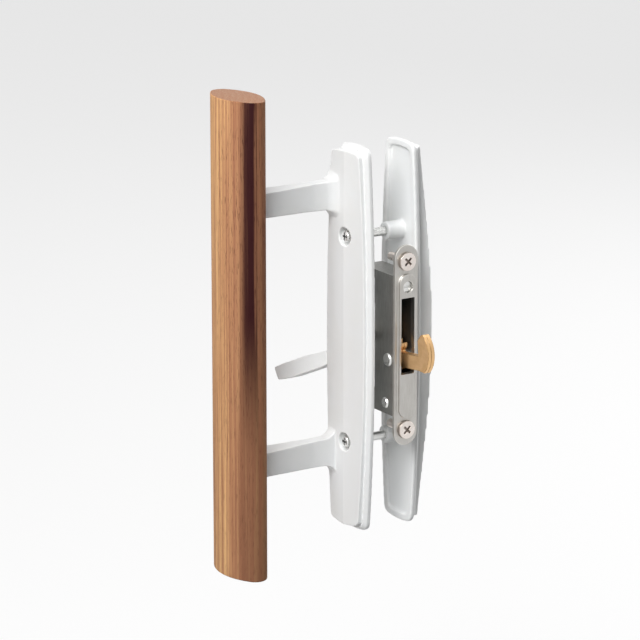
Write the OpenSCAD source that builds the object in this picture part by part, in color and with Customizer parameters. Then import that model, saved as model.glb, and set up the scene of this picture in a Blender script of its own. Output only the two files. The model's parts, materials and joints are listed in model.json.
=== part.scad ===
// Sliding door handle set: a room-side plate with two cast arms and an oval
// wooden grip, a thumb lever that works a mortise lock with a swinging hook,
// and an outer plate with a finger pull. The door itself is left out.
// The origin is on the room-side door face, midway between the two plate
// screws. +X points to the edge of the door that the hook leaves by, +Y to
// the outside and +Z up.

/* [Door] */
// thickness of the door that the set clamps
door_t = 23; // [20:0.5:32]
// distance from the plate screws to the edge of the door
edge_x = 26; // [25:0.5:32]

/* [Plates] */
// height of both plates
plate_h = 187; // [180:1:210]
// width of both plates at the middle
plate_w = 31.4; // [31:0.2:36]
// how far the room-side plate stands off the door
plate_rise = 7.8; // [7.4:0.1:10]
// distance between the two plate screws
screw_gap = 100; // [98:1:104]
// diameter of the plate screws
screw_d = 4.2; // [3.5:0.1:4.6]
// how far the finger pull stands off the outer door face
pull_out = 12.4; // [10:0.2:18]

/* [Grip] */
// length of the wooden grip
grip_l = 229; // [200:1:260]
// width of the grip's oval, across the door
grip_w = 38.6; // [34:0.2:42]
// depth of the grip's oval, towards the room
grip_t = 20; // [18:0.2:24]
// distance from the door to the middle of the grip
grip_out = 58.7; // [52:0.1:75]
// distance from the plate screws back to the middle of the grip
grip_back = 10.4; // [9.8:0.1:10.8]
// height of the middle of the grip above the plate screws' middle
grip_up = 6; // [5:0.5:8]
// distance between the middles of the two arms
arm_gap = 125; // [122:0.5:130]

/* [Lever and lock] */
// angle at which the lever's neck rests below the level
lever_rest = 34.4; // [32:0.2:35]
// angle at which the blade droops from the neck
blade_droop = 12; // [6:1:14]
// distance from the lever's axis to its tip
lever_reach = 32.8; // [30:0.2:40]
// distance of the hook's pivot behind the edge of the door
pivot_in = 8; // [7.6:0.1:8.4]
// distance that the hook stands out of the lock face
hook_reach = 20; // [19:0.2:21]
// thickness of each of the hook's two plates
hook_t = 1.8; // [1.5:0.1:2.2]
// distance between the two lock face screws
face_gap = 81.4; // [80:0.2:90]
// height of the strip that shows in the edge of the door
strip_h = 69.6; // [67:0.2:70]
// thickness of the lock case
case_t = 12; // [11:0.5:13]

/* [Hidden] */
$fn = 48;
eps = 0.01;
fit = 0.05;                // radial gap of a shaft that turns in its hole
half_w = plate_w / 2;
half_h = plate_h / 2;

// the plates' outline and border
bow_r = 1050;              // radius of the long edges
end_r = 48;                // radius of the ends
corner_r = 4;
base_t = 1.9;              // the border rises straight to here
bevel = 1.7;               // and then slopes in by this much
rim_t = base_t + bevel;
inset = bevel + 0.4;       // from the plate's edge to its raised face
inner_w = half_w - inset;
wall = 2.1;
left_y = plate_rise - 0.6; // height of the raised face at its left edge
right_y = plate_rise - 3.2;

// the plate screws
thread_d = screw_d - 0.2;  // in the posts of the outer plate
neck_d = screw_d + 0.3;    // where the room-side plate holds the screw
head_d = 6.8;
head_t = 2.4;
seat_depth = 4;            // where the heads sit, off the door face
bore_d = 8.8;
post_d = 12.4;
boss_d = 8.6;
boss_l = 8;

// the arms
arm_w = 6;                 // width at the plate
arm_end_w = 12.2;          // and at the grip
arm_h = 13.4;
arm_end_h = 11.6;
arm_fillet = 6.5;
arm_z = [grip_up + arm_gap / 2, grip_up - arm_gap / 2];
arm_bore_d = 4.2;
grip_head_d = 3.8;
grip_head_t = 2;
grip_screw_d = 2.8;
grip_screw_l = 16;
web = 4;                   // metal left under the grip screws' heads

// the grip's oval: two long arcs and a small one at each end
oval_r = 5.6;
oval_c = grip_w / 2 - oval_r;
oval_b = grip_t / 2;
oval_long = (oval_c * oval_c + oval_b * oval_b - oval_r * oval_r)
    / (2 * (oval_b - oval_r));
oval_join = oval_c * oval_long / (oval_long - oval_r);
flat_in = oval_long - sqrt(oval_long * oval_long - arm_end_w * arm_end_w / 4);
pad_y = -grip_out + oval_b - flat_in - 0.1;  // where the arms meet the grip

// the finger pull
lip_x = 11.6;              // where the lip over the scoop ends
scoop_x = 13.2;            // the middle of the scoop
scoop_r = 5.2;

// the lever
hub_d = 12;
hub_y = -4.8;
hub_back = -1.6;
journal_d = 7;
journal_l = 1;
neck_w = 5.4;
neck_t = 2.8;
blade_h = 7.8;
lever_tip_y = -28.6;
slot_edge = (half_w + neck_w / 2 * sin(lever_rest)) / cos(lever_rest);
knee = slot_edge + 0.4;    // where the neck, clear of the plate, bends
keeper_t = 0.9;
keeper_y = -0.2;
keeper_screw_d = 2;
keeper_head_d = 3.6;
keeper_at = 10.5;          // the keeper's screws above and below the lever
washer_t = 0.5;
tail_w = 5;
tail_t = 2;

// the lock
mid_y = door_t / 2;
case_lo = mid_y - case_t / 2;
case_hi = mid_y + case_t / 2;
sheet = 1.5;
case_x0 = -10.5;
screw_room = 6.7;          // from the ends of the case to the face screws
case_h = face_gap - 2 * screw_room;
strip_w = 9;
strip_t = 1.6;
back_t = 1.6;
back_w = 12.6;
back_x = edge_x - strip_t - back_t;
slot_w = 7.2;
pivot_x = edge_x - pivot_in;
pivot_z = -7.4;
pivot_d = 5;
shoulder_d = 8;
eye_r = 5.6;
slot_lo = pivot_z - eye_r - 0.4;
slot_hi = pivot_z + pivot_in + hook_reach + 2.8;  // the hook swings in below
neck_h = 7;                // the hook's neck
nose_r = 11.6;             // the hook's rounded nose
nose_up = 5;
beak_w = 5.8;
hub_teeth = 17;
hook_teeth = 13;
press = 25;                // pressure angle of the teeth
mesh = sqrt(pivot_x * pivot_x + pivot_z * pivot_z);
mesh_turn = atan2(pivot_z, pivot_x);
tooth = 2 * mesh / (hub_teeth + hook_teeth);
drum_r = 7.2;              // the lock hub where it has no teeth
drum_bore_d = 10;
adjust_z = slot_hi + 5.2;
adjust_d = 5;
adjust_l = 9;
adjust_x = edge_x - 1.5;   // the face of the adjusting screw's head
adjust_t = 1.4;
face_screw_d = 4;
face_neck_d = face_screw_d + 0.3;  // the shank swells to this under the head
face_head_d = 8.6;
face_rim = 0.3;            // the straight rim of the head
dimple_t = 0.3;            // room for the dimpled skin under the heads
face_screw_l = 15;
rivet_d = 3.2;
rivet_in = 5.2;            // from the sides of the case to its rivets
rivet_at = [[case_x0 + rivet_in, case_h / 2 - rivet_in - 1.8],
    [case_x0 + rivet_in, rivet_in + 1.8 - case_h / 2],
    [back_x - rivet_in - 1.6, rivet_in - case_h / 2]];
leaf_t = 0.4;
click_r = 1.3;             // the spring's bump and the drum's notches

// A flat outline drawn in X and Z, made solid between two values of Y.
module through(y0, y1) {
    translate([0, y1, 0])
        rotate([90, 0, 0])
            linear_extrude(height = y1 - y0)
                children();
}

// A flat outline drawn in Y and Z, made solid between two values of X.
module across(x0, x1) {
    translate([x0, 0, 0])
        rotate([90, 0, 90])
            linear_extrude(height = x1 - x0)
                children();
}

// A flat outline drawn in X and Y, made solid between two values of Z.
module upright(z0, z1) {
    translate([0, 0, z0])
        linear_extrude(height = z1 - z0)
            children();
}

// A round bar along Y, from y0 to y1, with its two diameters.
module bar_y(y0, y1, d0, d1) {
    translate([0, y0, 0])
        rotate([-90, 0, 0])
            cylinder(h = y1 - y0, d1 = d0, d2 = d1);
}

// A round bar along X, from x0 to x1, with its two diameters.
module bar_x(x0, x1, d0, d1) {
    translate([x0, 0, 0])
        rotate([0, 90, 0])
            cylinder(h = x1 - x0, d1 = d0, d2 = d1);
}

// A box given by its two far corners.
module block(low, high) {
    translate(low)
        cube(high - low);
}

// The recess of a cross-head screw: its mouth is at the origin, open to -Y.
module cross_y(size) {
    for (turn = [0, 90])
        rotate([0, turn, 0])
            block([-size / 2, -eps, -size * 0.11],
                [size / 2, size * 0.3, size * 0.11]);
}

// The outline of a plate, drawn in X and Z, pulled in by some way. Its left
// edge can be pulled in by less.
module plate_outline(by, left_by) {
    tall = half_h - by;
    end = end_r - by;
    round = corner_r - by / 3;
    difference() {
        intersection() {
            translate([half_w - by - bow_r, 0])
                circle(r = bow_r, $fn = 720);
            translate([bow_r - half_w + left_by, 0])
                circle(r = bow_r, $fn = 720);
            union() {
                for (side = [-1, 1])
                    translate([0, side * (tall - end)])
                        circle(r = end, $fn = 120);
                square([2 * half_w + 2, 2 * (tall - end)], center = true);
            }
        }
        for (up = [0, 1])
            mirror([0, up]) {
                corner_cut(half_w - by, tall, end, round);
                mirror([1, 0])
                    corner_cut(half_w - left_by, tall, end, round);
            }
    }
}

// What comes off the corner between a plate's long edge and its end.
module corner_cut(wide, tall, end, round) {
    x = wide - tall * tall / (2 * bow_r) * 0.93 - round;
    z = tall - end + sqrt((end - round) * (end - round) - x * x);
    turn = atan2(z - tall + end, x);
    far = round + 5;
    translate([x, z])
        difference() {
            polygon([[0, 0], [far, -0.09 * far], [far, far],
                [far * cos(turn), far * sin(turn)]]);
            circle(r = round);
        }
}

// The bevelled border of a plate on the room side of the door.
module plate_base() {
    hull() {
        through(-base_t, 0)
            plate_outline(0, 0);
        through(-rim_t, eps - rim_t)
            plate_outline(bevel, bevel);
    }
}

// The raised face of the room-side plate: two long facets that meet in a
// low ridge down the middle, cut to the plate's outline.
module raised_face() {
    intersection() {
        upright(-half_h, half_h)
            polygon([[-half_w - 1, 0], [-half_w - 1, -left_y], [0, -plate_rise],
                [inner_w, -right_y], [inner_w + 1, -right_y], [half_w, 0]]);
        through(-plate_rise - 1, 1)
            plate_outline(inset, 0.02);
    }
}

// One of the two cast arms, its middle at height z.
module arm(z) {
    root = -left_y - arm_fillet + 0.2;
    intersection() {
        across(-grip_back - arm_end_w, -grip_back + arm_end_w)
            translate([0, z])
                difference() {
                    union() {
                        polygon([[pad_y, arm_end_h / 2], [root, arm_h / 2],
                            [-3, arm_h / 2], [-3, -arm_h / 2],
                            [root, -arm_h / 2], [pad_y, -arm_end_h / 2]]);
                        translate([root, -arm_h / 2 - arm_fillet])
                            square([-3 - root, arm_h + 2 * arm_fillet]);
                    }
                    for (side = [-1, 1])
                        translate([root, side * (arm_h / 2 + arm_fillet)])
                            circle(r = arm_fillet);
                }
        upright(z - arm_h, z + arm_h)
            polygon([[-grip_back - arm_end_w / 2, pad_y],
                [-grip_back + arm_end_w / 2, pad_y],
                [-grip_back + arm_w / 2, root - 6],
                [-grip_back + arm_w / 2 + 0.4, -3],
                [-grip_back - arm_w / 2 - 0.4, -3],
                [-grip_back - arm_w / 2, root - 6]]);
    }
}

// The space inside an arm that its grip screw and a driver go through.
module arm_bore(z) {
    translate([-grip_back, 0, z]) {
        bar_y(pad_y + web, 1, arm_bore_d, arm_bore_d);
        bar_y(pad_y - 1, 1, grip_screw_d, grip_screw_d);
    }
}

// The hollow in the back of the room-side plate, where the lever swings.
module back_hollow() {
    floor_y = wall - right_y;
    difference() {
        intersection() {
            through(wall - left_y, 1)
                plate_outline(inset + 1.4, wall);
            upright(-half_h, half_h)
                polygon([[-half_w, 1], [-half_w, wall - left_y],
                    [0, wall - plate_rise], [inner_w, floor_y], [inner_w, 1]]);
        }
        for (side = [-1, 1])
            translate([0, 0, side * screw_gap / 2])
                bar_y(-plate_rise, 0, post_d, post_d);
        for (z = arm_z)
            translate([-grip_back, 0, z])
                bar_y(-plate_rise, 0, arm_bore_d + 3.2, arm_bore_d + 3.2);
        for (side = [-1, 1])
            translate([0, 0, side * keeper_at])
                bar_y(-plate_rise, keeper_y - keeper_t, 6, 6);
        bar_y(-plate_rise, hub_y, journal_d + 4, journal_d + 4);
    }
}

// The slot in the plate's left wall that the lever swings in.
module lever_slot() {
    tall = half_w * tan(lever_rest) + neck_w / 2 / cos(lever_rest) + 0.6;
    block([-half_w - 1, hub_y - 0.4, -tall], [-half_w + wall + 1.5, 1, tall]);
}

// The room-side plate with both arms, one casting.
module interior_plate() {
    color("white")
        difference() {
            union() {
                plate_base();
                raised_face();
                for (z = arm_z)
                    arm(z);
            }
            back_hollow();
            bar_y(hub_y, 1, hub_d + 1, hub_d + 1);
            lever_slot();
            for (z = arm_z)
                arm_bore(z);
            for (side = [-1, 1])
                translate([0, 0, side * screw_gap / 2]) {
                    bar_y(-plate_rise - 1, -seat_depth, bore_d, bore_d);
                    bar_y(-plate_rise, 1, neck_d + 2 * fit, neck_d + 2 * fit);
                }
            for (side = [-1, 1])
                translate([0, 0, side * keeper_at])
                    bar_y(hub_y, 1, keeper_screw_d, keeper_screw_d);
            bar_y(hub_y - journal_l - 0.1, hub_y + 1, journal_d + 2 * fit,
                journal_d + 2 * fit);
        }
}

// The grip's oval, drawn in X and Y about its own middle. The round ends
// lap the long arcs a little, so that the outline closes.
module oval() {
    lap = 0.6;
    intersection() {
        translate([0, oval_long - oval_b])
            circle(r = oval_long, $fn = 144);
        translate([0, oval_b - oval_long])
            circle(r = oval_long, $fn = 144);
        square([2 * (oval_join - lap), 2 * grip_t], center = true);
    }
    for (side = [-1, 1])
        translate([side * oval_c, 0])
            circle(r = oval_r);
}

// The wooden grip, with a flat seat and a screw hole for each arm.
module wood_grip() {
    color("peru")
        difference() {
            upright(grip_up - grip_l / 2, grip_up + grip_l / 2)
                translate([-grip_back, -grip_out])
                    oval();
            for (z = arm_z) {
                block([-grip_back - arm_end_w / 2, pad_y, z - arm_end_h / 2],
                    [-grip_back + arm_end_w / 2, 0, z + arm_end_h / 2]);
                translate([-grip_back, 0, z])
                    bar_y(pad_y + web - grip_screw_l, pad_y + 1,
                        grip_screw_d, grip_screw_d);
            }
        }
}

// A screw that holds the grip, driven from the back of the plate.
module grip_screw(z) {
    head = pad_y + web;
    color("silver")
        translate([-grip_back, 0, z])
            difference() {
                union() {
                    bar_y(head, head + grip_head_t, grip_head_d,
                        grip_head_d - 0.8);
                    bar_y(head - grip_screw_l + 3, head, grip_screw_d,
                        grip_screw_d);
                    bar_y(head - grip_screw_l, head - grip_screw_l + 3, 0.4,
                        grip_screw_d);
                }
                translate([0, head + grip_head_t, 0])
                    mirror([0, 1, 0])
                        cross_y(2.8);
            }
}

// The lever seen from the room, lying level to -X: a neck that passes the
// slot, and a blade that widens outside the plate and droops to its tip.
module lever_outline() {
    half = blade_h / 2;
    long = (lever_reach - knee) / cos(blade_droop);
    translate([-knee, -neck_w / 2])
        square([knee, neck_w]);
    translate([-knee, 0])
        rotate(blade_droop) {
            polygon([[0.8, -neck_w / 2], [-3.4, -half], [half - long, -half],
                [half - long, half], [-3.4, half], [0.8, neck_w / 2]]);
            translate([half - long, 0])
                circle(r = half);
        }
}

// The lever as cast, lying level. Its blade bends out towards the hand.
module level_lever() {
    tip = -lever_reach;
    high = hub_back - neck_t;
    bar_y(hub_y, hub_back, hub_d, hub_d);
    bar_y(hub_y - journal_l, hub_y, journal_d, journal_d);
    intersection() {
        upright(-lever_reach, lever_reach)
            polygon([[0, hub_back], [0, high], [1 - knee, high],
                [-knee - 0.6, high - 0.9], [tip + 1.8, lever_tip_y - 1],
                [tip + 0.6, lever_tip_y - 0.6], [tip, lever_tip_y + 1.2],
                [-knee - 2.6, hub_back - 0.9], [-knee - 0.6, hub_back]]);
        through(lever_tip_y - 3, 0)
            lever_outline();
    }
}

// The thumb lever: a hub inside the plate and a blade out of its side.
module thumb_lever() {
    color("white")
        rotate([0, -lever_rest, 0])
            difference() {
                level_lever();
                through(hub_y + 0.8, 1)
                    square([tail_w, tail_t], center = true);
            }
}

// The flat spindle that carries the lever's turn into the lock.
module lever_spindle() {
    color("silver")
        rotate([0, -lever_rest, 0])
            through(hub_y + 0.8, mid_y + 8)
                square([tail_w, tail_t], center = true);
}

// The thin washer between the lever's hub and its keeper.
module lever_washer() {
    color("silver")
        through(hub_back, hub_back + washer_t)
            difference() {
                circle(d = hub_d - 1.6);
                circle(d = tail_w + 1.6);
            }
}

// The strap that keeps the lever's hub in the plate.
module lever_keeper() {
    color("silver")
        difference() {
            through(keeper_y - keeper_t, keeper_y)
                difference() {
                    square([hub_d - 3, 2 * keeper_at + 6], center = true);
                    circle(d = tail_w + 1.6);
                }
            for (side = [-1, 1])
                translate([0, 0, side * keeper_at])
                    bar_y(keeper_y - keeper_t, keeper_y, keeper_screw_d,
                        keeper_head_d);
        }
}

// A screw that holds the keeper, driven from the back. Side is 1 or -1.
module keeper_screw(side) {
    color("silver")
        translate([0, 0, side * keeper_at])
            difference() {
                union() {
                    bar_y(hub_y + 0.4, keeper_y - keeper_t, keeper_screw_d,
                        keeper_screw_d);
                    bar_y(keeper_y - keeper_t, keeper_y, keeper_screw_d,
                        keeper_head_d);
                }
                translate([0, keeper_y, 0])
                    mirror([0, 1, 0])
                        cross_y(1.6);
            }
}

// A screw that clamps both plates to the door. Side is 1 or -1.
module plate_screw(side) {
    color("silver")
        translate([0, 0, side * screw_gap / 2])
            difference() {
                union() {
                    bar_y(-seat_depth - head_t, -seat_depth, head_d - 1.6,
                        head_d);
                    bar_y(-seat_depth, 0, neck_d, screw_d);
                    bar_y(0, door_t - boss_l, screw_d, screw_d);
                    bar_y(door_t - boss_l, door_t + 4, thread_d, thread_d);
                }
                translate([0, -seat_depth - head_t, 0])
                    cross_y(4);
            }
}

// The section of the finger pull, drawn in X and Y from the door face: a
// ramp up from the left and a scoop for the fingers on the right.
module pull_section() {
    difference() {
        polygon([[-inner_w, 2], [-inner_w + 0.5, rim_t + 0.4],
            [-1, pull_out - 1.2], [2.5, pull_out + 1], [lip_x, pull_out + 1],
            [lip_x, rim_t], [inner_w, rim_t], [inner_w, 2]]);
        translate([scoop_x, (pull_out + rim_t) / 2 - 0.4])
            circle(r = scoop_r);
    }
}

// The outer plate with its finger pull and the posts for the plate screws.
module exterior_plate() {
    bow = 700;
    color("white")
        translate([0, door_t, 0])
            difference() {
                union() {
                    mirror([0, 1, 0])
                        plate_base();
                    intersection() {
                        upright(-half_h, half_h)
                            pull_section();
                        through(0, pull_out + 2)
                            plate_outline(inset, inset);
                        across(-half_w, half_w)
                            translate([pull_out - bow, 0])
                                circle(r = bow, $fn = 720);
                    }
                    for (side = [-1, 1])
                        translate([0, 0, side * screw_gap / 2])
                            bar_y(-boss_l, 2, boss_d, boss_d);
                }
                difference() {
                    through(-1, rim_t - wall)
                        plate_outline(inset + 1.4, inset + 1.4);
                    for (side = [-1, 1])
                        translate([0, 0, side * screw_gap / 2])
                            bar_y(-boss_l, rim_t, boss_d, boss_d);
                }
                for (side = [-1, 1])
                    translate([0, 0, side * screw_gap / 2])
                        bar_y(-boss_l - 1, 4, thread_d, thread_d);
            }
}

// The outline of the lock case, drawn in X and Z.
module case_outline(by) {
    x0 = case_x0 + by;
    tall = case_h / 2 - by;
    cut = 5;
    polygon([[x0, cut - tall], [x0 + cut, -tall], [back_x, -tall],
        [back_x, tall], [x0 + cut, tall], [x0, tall - cut]]);
}

// The holes that both sides of the case share.
module case_holes() {
    circle(d = drum_bore_d + 2 * fit);
    translate([pivot_x, pivot_z])
        circle(d = pivot_d - 1);
    for (at = rivet_at)
        translate(at)
            circle(d = rivet_d);
}

// The case's tray: one side of the lock and the walls round it.
module lock_case() {
    color("lightgray")
        difference() {
            through(case_lo, case_hi - sheet)
                case_outline(0);
            difference() {
                through(case_lo + sheet, case_hi)
                    case_outline(sheet);
                block([back_x - 2 * sheet, case_lo, slot_hi + 1.5],
                    [back_x, case_hi, case_h / 2]);
                block([back_x - 2 * sheet, case_lo, -case_h / 2],
                    [back_x, case_hi, slot_lo - 1.5]);
            }
            block([back_x - 2 * sheet, case_lo + sheet, slot_lo - 1.5],
                [back_x + 1, case_hi, slot_hi + 1.5]);
            through(case_lo - 1, case_lo + sheet + 1)
                case_holes();
            translate([0, mid_y, adjust_z])
                bar_x(back_x - 4, back_x + 1, 3, 3);
        }
}

// The flat cover on the other side of the case.
module lock_cover() {
    color("lightgray")
        through(case_hi - sheet, case_hi)
            difference() {
                case_outline(0);
                case_holes();
            }
}

// A flat bar with round ends, drawn in Y and Z.
module round_bar(wide, tall) {
    square([wide, tall - wide], center = true);
    for (side = [-1, 1])
        translate([0, side * (tall - wide) / 2])
            circle(d = wide);
}

// The lock's face: the strip that shows in the door's edge, and behind it
// the longer bar that the face screws pull against the door's skin.
module lock_face() {
    color("gainsboro")
        difference() {
            union() {
                across(back_x, back_x + back_t)
                    translate([mid_y, 0])
                        round_bar(back_w, face_gap + back_w + 3);
                across(back_x + back_t - eps, edge_x)
                    translate([mid_y, 0])
                        round_bar(strip_w, strip_h);
            }
            block([back_x - 1, mid_y - slot_w / 2, slot_lo],
                [edge_x + 1, mid_y + slot_w / 2, slot_hi]);
            translate([0, mid_y, adjust_z])
                bar_x(back_x - 1, edge_x + 1, adjust_d + 0.4, adjust_d + 0.4);
            for (side = [-1, 1])
                translate([0, mid_y, side * face_gap / 2]) {
                    face_screw_form();
                    bar_x(back_x + back_t - dimple_t, edge_x + 1,
                        face_head_d + 0.2, face_head_d + 0.2);
                }
        }
}

// The outside of a face screw, its axis on the X axis.
module face_screw_form() {
    rim_x = edge_x - face_rim;
    cone_x = rim_x - (face_head_d - face_neck_d) / 2;
    bar_x(edge_x - face_screw_l, back_x, face_screw_d, face_screw_d);
    bar_x(back_x, cone_x, face_screw_d, face_neck_d);
    bar_x(cone_x, rim_x, face_neck_d, face_head_d);
    bar_x(rim_x, edge_x, face_head_d, face_head_d);
}

// A flat-head screw through one end of the lock's face. Side is 1 or -1.
module face_screw(side) {
    color("silver")
        translate([0, mid_y, side * face_gap / 2])
            difference() {
                face_screw_form();
                translate([edge_x, 0, 0])
                    rotate([45, 0, 0])
                        rotate([0, 0, 90])
                            cross_y(4.6);
            }
}

// The angle that an involute flank has turned through, by pressure angle.
function roll(a) = tan(a) * 180 / PI - a;

// Half of a tooth's angle at radius r, for a wheel of so many teeth.
function tooth_half(r, teeth) =
    90 / teeth - 0.35 + roll(press)
    - roll(acos(min(1, teeth * tooth / 2 * cos(press) / r)));

// One tooth's outline about the angle a, from its root round to its root.
function tooth_points(teeth, a) =
    let (pitch_r = teeth * tooth / 2,
        low = max(pitch_r - 1.2 * tooth, pitch_r * cos(press)),
        high = pitch_r + 0.95 * tooth,
        radii = [for (k = [0:4]) low + (high - low) * k / 4])
    concat(
        [polar(pitch_r - 1.25 * tooth, a - tooth_half(low, teeth))],
        [for (k = [0:4]) polar(radii[k], a - tooth_half(radii[k], teeth))],
        [for (k = [0:4])
            polar(radii[4 - k], a + tooth_half(radii[4 - k], teeth))],
        [polar(pitch_r - 1.25 * tooth, a + tooth_half(low, teeth))]);

function polar(r, a) = [r * cos(a), r * sin(a)];

// A toothed sector about the origin: teeth numbered from first to last.
module toothed(teeth, turn, first, last) {
    polygon(concat([[0, 0]], [for (i = [first:last])
        each tooth_points(teeth, turn + i * 360 / teeth)]));
}

// The lock's hub: a drum with a toothed sector, turned by the spindle.
module lock_hub() {
    color("goldenrod")
        difference() {
            union() {
                through(mid_y - hook_t, mid_y + hook_t)
                    difference() {
                        union() {
                            circle(r = drum_r);
                            toothed(hub_teeth, mesh_turn, -1, 4);
                        }
                        for (a = [180, 180 + 2 * lever_rest])
                            translate(polar(drum_r + 0.7 * click_r, a))
                                circle(r = click_r);
                    }
                bar_y(case_lo, case_hi, drum_bore_d, drum_bore_d);
            }
            rotate([0, -lever_rest, 0])
                through(case_lo - 1, case_hi + 1)
                    square([tail_w + 2 * fit, tail_t + 2 * fit], center = true);
        }
}

// The flat shape of the hook, about its pivot.
module hook_outline() {
    beak = hook_reach + pivot_in - nose_r + 0.6;
    inner = beak + nose_r / 2 - 3;
    tall = nose_up + nose_r;
    low = neck_h / 2;
    difference() {
        union() {
            circle(r = eye_r);
            toothed(hook_teeth, 180 + mesh_turn, -3.5, 0.5);
            rotate(6) {
                translate([0, -low])
                    square([beak + nose_r / 2, neck_h]);
                intersection() {
                    translate([beak, nose_up])
                        circle(r = nose_r);
                    polygon([[inner, -low], [inner, tall - beak_w],
                        [inner + 3, tall - 2.8], [inner + 6.2, tall - 2.4],
                        [beak + nose_r + 2, tall - 2.6],
                        [beak + nose_r + 2, -low - 2.5],
                        [inner + 3.2, -low - 0.5]]);
                }
            }
        }
        circle(d = pivot_d + 2 * fit);
    }
}

// One of the hook's two plates, starting at y0.
module hook_plate(y0) {
    color("goldenrod")
        through(y0, y0 + hook_t)
            translate([pivot_x, pivot_z])
                hook_outline();
}

// The pivot that the hook swings on, with a shoulder on each side of it.
module hook_pivot() {
    color("silver")
        translate([pivot_x, 0, pivot_z]) {
            bar_y(case_lo - 0.8, case_lo, pivot_d + 0.6, pivot_d + 1.4);
            bar_y(case_lo, case_lo + sheet, pivot_d - 1, pivot_d - 1);
            bar_y(case_lo + sheet, mid_y - hook_t - fit, shoulder_d, shoulder_d);
            bar_y(mid_y - hook_t - fit, mid_y + hook_t + fit, pivot_d, pivot_d);
            bar_y(mid_y + hook_t + fit, case_hi - sheet, shoulder_d, shoulder_d);
            bar_y(case_hi - sheet, case_hi, pivot_d - 1, pivot_d - 1);
            bar_y(case_hi, case_hi + 0.8, pivot_d + 1.4, pivot_d + 0.6);
        }
}

// The leaf spring that rubs on the drum and clicks at both ends of its turn.
module detent_spring() {
    x = case_x0 + sheet;
    color("gray")
        through(mid_y - 1.6, mid_y + 1.6)
            union() {
                translate([x, -case_h / 4])
                    square([leaf_t, case_h / 4 + drum_r + 2]);
                difference() {
                    translate([-drum_r - click_r - fit, 0])
                        circle(r = click_r);
                    translate([x - 4 * click_r, -2 * click_r])
                        square([4 * click_r, 4 * click_r]);
                }
            }
}

// The screw that sets how deep the case sits behind its face.
module adjusting_screw() {
    color("gray")
        translate([0, mid_y, adjust_z])
            difference() {
                union() {
                    bar_x(adjust_x - adjust_t, adjust_x, adjust_d, adjust_d);
                    bar_x(back_x - adjust_l, adjust_x - adjust_t, 3, 3);
                }
                block([adjust_x - adjust_t / 2, -adjust_d, -0.5],
                    [adjust_x + 1, adjust_d, 0.5]);
            }
}

// A rivet through both sides of the case.
module case_rivet(i) {
    color("silver")
        translate([rivet_at[i][0], 0, rivet_at[i][1]]) {
            bar_y(case_lo - 0.7, case_lo, rivet_d + 1, rivet_d + 2);
            bar_y(case_lo, case_hi, rivet_d, rivet_d);
            bar_y(case_hi, case_hi + 0.7, rivet_d + 2, rivet_d + 1);
        }
}

interior_plate();
wood_grip();
grip_screw(arm_z[0]);  // grip_screw_upper
grip_screw(arm_z[1]);  // grip_screw_lower
thumb_lever();
lever_spindle();
lever_washer();
lever_keeper();
keeper_screw(1);  // keeper_screw_upper
keeper_screw(-1);  // keeper_screw_lower
plate_screw(1);  // plate_screw_upper
plate_screw(-1);  // plate_screw_lower
exterior_plate();
lock_case();
lock_cover();
lock_face();
lock_hub();
hook_plate(mid_y - hook_t);  // hook_plate_inner
hook_plate(mid_y);  // hook_plate_outer
hook_pivot();
detent_spring();
adjusting_screw();
case_rivet(0);  // case_rivet_upper
case_rivet(1);  // case_rivet_lower
case_rivet(2);  // case_rivet_front
face_screw(1);  // face_screw_upper
face_screw(-1);  // face_screw_lower
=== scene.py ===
"""Looks of a sliding door handle set.

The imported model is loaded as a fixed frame. Cast and stamped pieces get
softened skins, the grip is turned from its own oval, every piece gets a
procedural finish, and a plain pale studio is put round the set. Lengths in
the classes are in millimetres and become metres where a mesh is made.
"""

import json
import logging
import math
from dataclasses import dataclass, field
from enum import Enum
from typing import Any, Callable, Sequence

import bmesh
import bpy
from mathutils import Matrix, Vector

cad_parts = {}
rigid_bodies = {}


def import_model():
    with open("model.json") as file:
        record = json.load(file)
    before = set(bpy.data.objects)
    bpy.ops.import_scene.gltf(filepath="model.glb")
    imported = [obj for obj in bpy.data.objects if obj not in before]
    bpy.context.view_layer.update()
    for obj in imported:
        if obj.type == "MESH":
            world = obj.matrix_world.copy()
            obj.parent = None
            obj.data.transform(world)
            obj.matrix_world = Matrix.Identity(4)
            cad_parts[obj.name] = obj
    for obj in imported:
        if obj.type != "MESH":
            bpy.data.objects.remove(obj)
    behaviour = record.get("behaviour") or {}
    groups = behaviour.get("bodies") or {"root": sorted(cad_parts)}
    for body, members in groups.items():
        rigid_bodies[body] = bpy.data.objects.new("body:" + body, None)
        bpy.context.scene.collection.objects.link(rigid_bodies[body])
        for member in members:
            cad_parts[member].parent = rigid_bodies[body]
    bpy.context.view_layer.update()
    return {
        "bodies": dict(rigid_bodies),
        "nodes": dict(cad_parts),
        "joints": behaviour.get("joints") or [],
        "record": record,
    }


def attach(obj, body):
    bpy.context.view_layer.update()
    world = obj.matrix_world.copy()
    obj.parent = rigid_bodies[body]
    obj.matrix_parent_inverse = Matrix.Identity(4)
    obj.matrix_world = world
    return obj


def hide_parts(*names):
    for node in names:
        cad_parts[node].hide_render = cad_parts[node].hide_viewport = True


LOG = logging.getLogger("handle_set")
MM = 0.001
Colour = tuple[float, float, float, float]


class Body(Enum):
    """The moving bodies of the set."""

    FIXED = "fixed"
    LEVER = "lever"
    HOOK = "hook"
    ADJUSTER = "adjuster"


class Slot(Enum):
    """The material slots of the record."""

    CAST = "white_cast"
    WOOD = "grip_wood"
    SCREWS = "plated_screws"
    CASE = "lock_steel"
    FACE = "face_stainless"
    FACE_SCREWS = "face_screws"
    HOOK = "hook_brass"
    SPRING = "spring_steel"


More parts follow.
